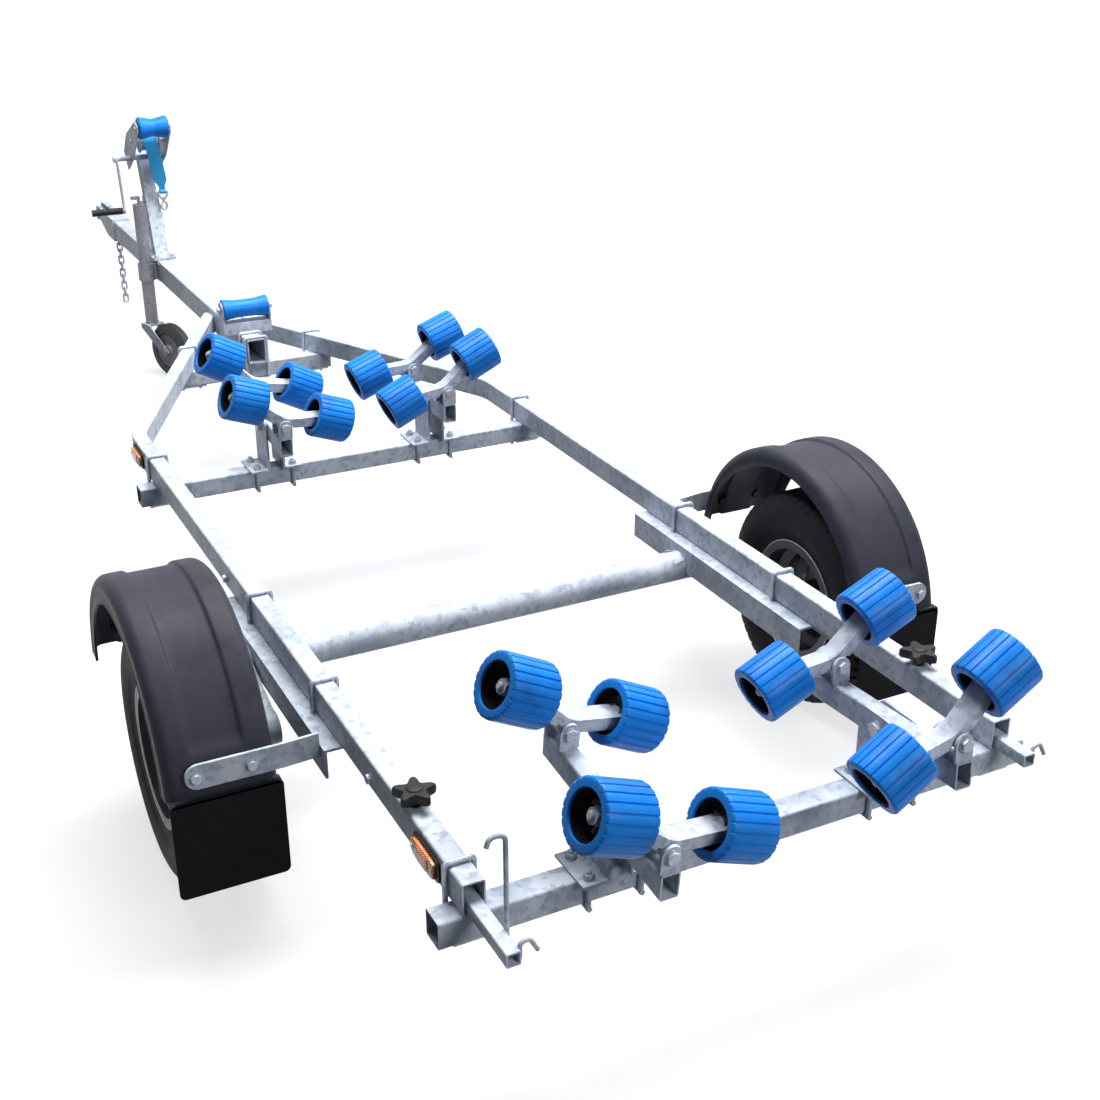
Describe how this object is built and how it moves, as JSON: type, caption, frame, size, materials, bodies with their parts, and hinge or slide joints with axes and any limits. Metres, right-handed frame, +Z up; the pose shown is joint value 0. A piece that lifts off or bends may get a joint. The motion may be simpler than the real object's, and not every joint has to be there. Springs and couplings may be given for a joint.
{
  "type": "boat trailer",
  "caption": "Galvanised boat trailer with a bolted box frame, swinging roller cradles, winch post, mudguards, ball coupling and jockey wheel, parked level.",
  "frame": {"origin": "on the ground under the middle of the trailer's bounding box, parked on its wheels and jockey wheel", "axes": "+X to the right seen from behind, +Y forward to the coupling, +Z up"},
  "size_m": [1.73, 5.3744, 0.978],
  "materials": {
    "galvanised_steel": "hot-dip galvanised, faint spangle",
    "bright_zinc": "bright zinc plate",
    "blue_rubber": "moulded, satin",
    "tyre_rubber": "road tyre",
    "black_rubber": "solid rubber",
    "black_plastic": "moulded, slightly weathered",
    "blue_webbing": "woven webbing",
    "amber_lens": "ribbed amber lens"
  },
  "bodies": {
    "trailer_frame": {"rail_left": "galvanised_steel", "rail_right": "galvanised_steel", "drawbar": "galvanised_steel", "cross_members": "galvanised_steel", "axle_frame": "galvanised_steel", "mudguard_left": "black_plastic", "mudguard_right": "black_plastic", "mudguard_stays": "galvanised_steel", "u_bolts": "bright_zinc", "roller_brackets": "galvanised_steel", "winch_post": "galvanised_steel", "winch_mast": "galvanised_steel", "strap": "blue_webbing", "strap_hook": "bright_zinc", "coupling": "galvanised_steel", "chain": "bright_zinc", "side_lamps": "amber_lens", "bar_knobs": "black_plastic", "jockey_clamp": "galvanised_steel"},
    "wheel_left": {"tyre_left": "tyre_rubber", "rim_left": "galvanised_steel"},
    "lamp_bar_left": {"light_bar_left": "galvanised_steel"},
    "wheel_right": {"tyre_right": "tyre_rubber", "rim_right": "galvanised_steel"},
    "lamp_bar_right": {"light_bar_right": "galvanised_steel"},
    "jockey_leg": {"jockey_stem": "galvanised_steel"},
    "jockey_caster": {"jockey_fork": "galvanised_steel"},
    "jockey_roller": {"jockey_wheel": "black_rubber"},
    "winch_crank": {"crank": "galvanised_steel", "crank_grip": "black_plastic"},
    "cradle_rear_left": {"arm_rear_left": "galvanised_steel"},
    "swivel_rear_left_aft": {"vee_rear_left_aft": "galvanised_steel"},
    "hull_roller_rear_left_aft_port": {"roller_rear_left_aft_port": "blue_rubber"},
    "hull_roller_rear_left_aft_starboard": {"roller_rear_left_aft_starboard": "blue_rubber"},
    "swivel_rear_left_fore": {"vee_rear_left_fore": "galvanised_steel"},
    "hull_roller_rear_left_fore_port": {"roller_rear_left_fore_port": "blue_rubber"},
    "hull_roller_rear_left_fore_starboard": {"roller_rear_left_fore_starboard": "blue_rubber"},
    "cradle_rear_right": {"arm_rear_right": "galvanised_steel"},
    "swivel_rear_right_aft": {"vee_rear_right_aft": "galvanised_steel"},
    "hull_roller_rear_right_aft_port": {"roller_rear_right_aft_port": "blue_rubber"},
    "hull_roller_rear_right_aft_starboard": {"roller_rear_right_aft_starboard": "blue_rubber"},
    "swivel_rear_right_fore": {"vee_rear_right_fore": "galvanised_steel"},
    "hull_roller_rear_right_fore_port": {"roller_rear_right_fore_port": "blue_rubber"},
    "hull_roller_rear_right_fore_starboard": {"roller_rear_right_fore_starboard": "blue_rubber"},
    "cradle_front_left": {"arm_front_left": "galvanised_steel"},
    "swivel_front_left_aft": {"vee_front_left_aft": "galvanised_steel"},
    "hull_roller_front_left_aft_port": {"roller_front_left_aft_port": "blue_rubber"},
    "hull_roller_front_left_aft_starboard": {"roller_front_left_aft_starboard": "blue_rubber"},
    "swivel_front_left_fore": {"vee_front_left_fore": "galvanised_steel"},
    "hull_roller_front_left_fore_port": {"roller_front_left_fore_port": "blue_rubber"},
    "hull_roller_front_left_fore_starboard": {"roller_front_left_fore_starboard": "blue_rubber"},
    "cradle_front_right": {"arm_front_right": "galvanised_steel"},
    "swivel_front_right_aft": {"vee_front_right_aft": "galvanised_steel"},
    "hull_roller_front_right_aft_port": {"roller_front_right_aft_port": "blue_rubber"},
    "hull_roller_front_right_aft_starboard": {"roller_front_right_aft_starboard": "blue_rubber"},
    "swivel_front_right_fore": {"vee_front_right_fore": "galvanised_steel"},
    "hull_roller_front_right_fore_port": {"roller_front_right_fore_port": "blue_rubber"},
    "hull_roller_front_right_fore_starboard": {"roller_front_right_fore_starboard": "blue_rubber"},
    "keel_roller_body": {"keel_roller": "blue_rubber"},
    "bow_roller_body": {"bow_roller": "blue_rubber"}
  },
  "joints": [
    {"name": "wheel_left_spin", "type": "hinge", "parent": "trailer_frame", "child": "wheel_left", "pos_m": [-0.75, -1.6388, 0.255], "axis": [1, 0, 0], "continuous": true},
    {"name": "lamp_bar_left_slide", "type": "slide", "parent": "trailer_frame", "child": "lamp_bar_left", "axis": [0, -1, 0], "range_m": [0, 0.15]},
    {"name": "wheel_right_spin", "type": "hinge", "parent": "trailer_frame", "child": "wheel_right", "pos_m": [0.75, -1.6388, 0.255], "axis": [1, 0, 0], "continuous": true},
    {"name": "lamp_bar_right_slide", "type": "slide", "parent": "trailer_frame", "child": "lamp_bar_right", "axis": [0, -1, 0], "range_m": [0, 0.15]},
    {"name": "jockey_leg_slide", "type": "slide", "parent": "trailer_frame", "child": "jockey_leg", "axis": [0, 0, 1], "range_m": [0, 0.12]},
    {"name": "jockey_swivel", "type": "hinge", "parent": "jockey_leg", "child": "jockey_caster", "pos_m": [-0.072, 1.5732, 0.19], "axis": [0, 0, 1], "continuous": true},
    {"name": "jockey_wheel_spin", "type": "hinge", "parent": "jockey_caster", "child": "jockey_roller", "pos_m": [-0.02636, 1.47532, 0.105], "axis": [0.9063, 0.4226, 0], "continuous": true},
    {"name": "winch_crank_turn", "type": "hinge", "parent": "trailer_frame", "child": "winch_crank", "pos_m": [0, 1.6752, 0.809], "axis": [1, 0, 0], "continuous": true},
    {"name": "cradle_rear_left_rock", "type": "hinge", "parent": "trailer_frame", "child": "cradle_rear_left", "pos_m": [-0.28, -2.4518, 0.46], "axis": [1, 0, 0], "range_deg": [-12, 12]},
    {"name": "swivel_rear_left_aft_tilt", "type": "hinge", "parent": "cradle_rear_left", "child": "swivel_rear_left_aft", "pos_m": [-0.28, -2.61965, 0.50053], "axis": [0, 0.9951, 0.0993], "range_deg": [-10, 10]},
    {"name": "hull_roller_rear_left_aft_port_spin", "type": "hinge", "parent": "swivel_rear_left_aft", "child": "hull_roller_rear_left_aft_port", "pos_m": [-0.37433, -2.62805, 0.58464], "axis": [0.9239, 0.038, -0.3808], "continuous": true},
    {"name": "hull_roller_rear_left_aft_starboard_spin", "type": "hinge", "parent": "swivel_rear_left_aft", "child": "hull_roller_rear_left_aft_starboard", "pos_m": [-0.15352, -2.61897, 0.49364], "axis": [0.9239, 0.038, -0.3808], "continuous": true},
    {"name": "swivel_rear_left_fore_tilt", "type": "hinge", "parent": "cradle_rear_left", "child": "swivel_rear_left_fore", "pos_m": [-0.28, -2.29527, 0.53291], "axis": [0, 0.9951, 0.0993], "range_deg": [-10, 10]},
    {"name": "hull_roller_rear_left_fore_port_spin", "type": "hinge", "parent": "swivel_rear_left_fore", "child": "hull_roller_rear_left_fore_port", "pos_m": [-0.36579, -2.30452, 0.62563], "axis": [0.8829, 0.0466, -0.4672], "continuous": true},
    {"name": "hull_roller_rear_left_fore_starboard_spin", "type": "hinge", "parent": "swivel_rear_left_fore", "child": "hull_roller_rear_left_fore_starboard", "pos_m": [-0.15477, -2.29338, 0.51398], "axis": [0.8829, 0.0466, -0.4672], "continuous": true},
    {"name": "cradle_rear_right_rock", "type": "hinge", "parent": "trailer_frame", "child": "cradle_rear_right", "pos_m": [0.28, -2.4518, 0.46], "axis": [1, 0, 0], "range_deg": [-12, 12]},
    {"name": "swivel_rear_right_aft_tilt", "type": "hinge", "parent": "cradle_rear_right", "child": "swivel_rear_right_aft", "pos_m": [0.28, -2.61136, 0.52601], "axis": [0, 0.9984, -0.0558], "range_deg": [-10, 10]},
    {"name": "hull_roller_rear_right_aft_port_spin", "type": "hinge", "parent": "swivel_rear_right_aft", "child": "hull_roller_rear_right_aft_port", "pos_m": [0.15572, -2.61273, 0.50159], "axis": [0.8616, 0.0283, 0.5067], "continuous": true},
    {"name": "hull_roller_rear_right_aft_starboard_spin", "type": "hinge", "parent": "swivel_rear_right_aft", "child": "hull_roller_rear_right_aft_starboard", "pos_m": [0.36165, -2.60596, 0.6227], "axis": [0.8616, 0.0283, 0.5067], "continuous": true},
    {"name": "swivel_rear_right_fore_tilt", "type": "hinge", "parent": "cradle_rear_right", "child": "swivel_rear_right_fore", "pos_m": [0.28, -2.28587, 0.50781], "axis": [0, 0.9984, -0.0558], "range_deg": [-10, 10]},
    {"name": "hull_roller_rear_right_fore_port_spin", "type": "hinge", "parent": "swivel_rear_right_fore", "child": "hull_roller_rear_right_fore_port", "pos_m": [0.15366, -2.28638, 0.49869], "axis": [0.9171, 0.0223, 0.3981], "continuous": true},
    {"name": "hull_roller_rear_right_fore_starboard_spin", "type": "hinge", "parent": "swivel_rear_right_fore", "child": "hull_roller_rear_right_fore_starboard", "pos_m": [0.37284, -2.28106, 0.59384], "axis": [0.9171, 0.0223, 0.3981], "continuous": true},
    {"name": "cradle_front_left_rock", "type": "hinge", "parent": "trailer_frame", "child": "cradle_front_left", "pos_m": [-0.23, -0.5028, 0.473], "axis": [1, 0, 0], "range_deg": [-12, 12]},
    {"name": "swivel_front_left_aft_tilt", "type": "hinge", "parent": "cradle_front_left", "child": "swivel_front_left_aft", "pos_m": [-0.23, -0.63216, 0.5165], "axis": [0, 0.9943, 0.1063], "range_deg": [-10, 10]},
    {"name": "hull_roller_front_left_aft_port_spin", "type": "hinge", "parent": "swivel_front_left_aft", "child": "hull_roller_front_left_aft_port", "pos_m": [-0.32651, -0.64087, 0.59807], "axis": [0.9336, 0.0381, -0.3563], "continuous": true},
    {"name": "hull_roller_front_left_aft_starboard_spin", "type": "hinge", "parent": "swivel_front_left_aft", "child": "hull_roller_front_left_aft_starboard", "pos_m": [-0.10339, -0.63177, 0.51291], "axis": [0.9336, 0.0381, -0.3563], "continuous": true},
    {"name": "swivel_front_left_fore_tilt", "type": "hinge", "parent": "cradle_front_left", "child": "swivel_front_left_fore", "pos_m": [-0.23, -0.38556, 0.54285], "axis": [0, 0.9943, 0.1063], "range_deg": [-10, 10]},
    {"name": "hull_roller_front_left_fore_port_spin", "type": "hinge", "parent": "swivel_front_left_fore", "child": "hull_roller_front_left_fore_port", "pos_m": [-0.31498, -0.39554, 0.63625], "axis": [0.8788, 0.0507, -0.4745], "continuous": true},
    {"name": "hull_roller_front_left_fore_starboard_spin", "type": "hinge", "parent": "swivel_front_left_fore", "child": "hull_roller_front_left_fore_starboard", "pos_m": [-0.10494, -0.38342, 0.52286], "axis": [0.8788, 0.0507, -0.4745], "continuous": true},
    {"name": "cradle_front_right_rock", "type": "hinge", "parent": "trailer_frame", "child": "cradle_front_right", "pos_m": [0.23, -0.5028, 0.473], "axis": [1, 0, 0], "range_deg": [-12, 12]},
    {"name": "swivel_front_right_aft_tilt", "type": "hinge", "parent": "cradle_front_right", "child": "swivel_front_right_aft", "pos_m": [0.23, -0.62516, 0.53344], "axis": [0, 0.9996, -0.0279], "range_deg": [-10, 10]},
    {"name": "hull_roller_front_right_aft_port_spin", "type": "hinge", "parent": "swivel_front_right_aft", "child": "hull_roller_front_right_aft_port", "pos_m": [0.10384, -0.62548, 0.52211], "axis": [0.91, 0.0116, 0.4145], "continuous": true},
    {"name": "hull_roller_front_right_aft_starboard_spin", "type": "hinge", "parent": "swivel_front_right_aft", "child": "hull_roller_front_right_aft_starboard", "pos_m": [0.32132, -0.62271, 0.62118], "axis": [0.91, 0.0116, 0.4145], "continuous": true},
    {"name": "swivel_front_right_fore_tilt", "type": "hinge", "parent": "cradle_front_right", "child": "swivel_front_right_fore", "pos_m": [0.23, -0.37726, 0.52651], "axis": [0, 0.9996, -0.0279], "range_deg": [-10, 10]},
    {"name": "hull_roller_front_right_fore_port_spin", "type": "hinge", "parent": "swivel_front_right_fore", "child": "hull_roller_front_right_fore_port", "pos_m": [0.10334, -0.3773, 0.52511], "axis": [0.9397, 0.0095, 0.3419], "continuous": true},
    {"name": "hull_roller_front_right_fore_starboard_spin", "type": "hinge", "parent": "swivel_front_right_fore", "child": "hull_roller_front_right_fore_starboard", "pos_m": [0.32793, -0.37501, 0.60682], "axis": [0.9397, 0.0095, 0.3419], "continuous": true},
    {"name": "keel_roller_spin", "type": "hinge", "parent": "trailer_frame", "child": "keel_roller_body", "pos_m": [0, 0.4812, 0.517], "axis": [1, 0, 0], "continuous": true},
    {"name": "bow_roller_spin", "type": "hinge", "parent": "trailer_frame", "child": "bow_roller_body", "pos_m": [0, 1.5332, 0.937], "axis": [1, 0, 0], "continuous": true}
  ]
}
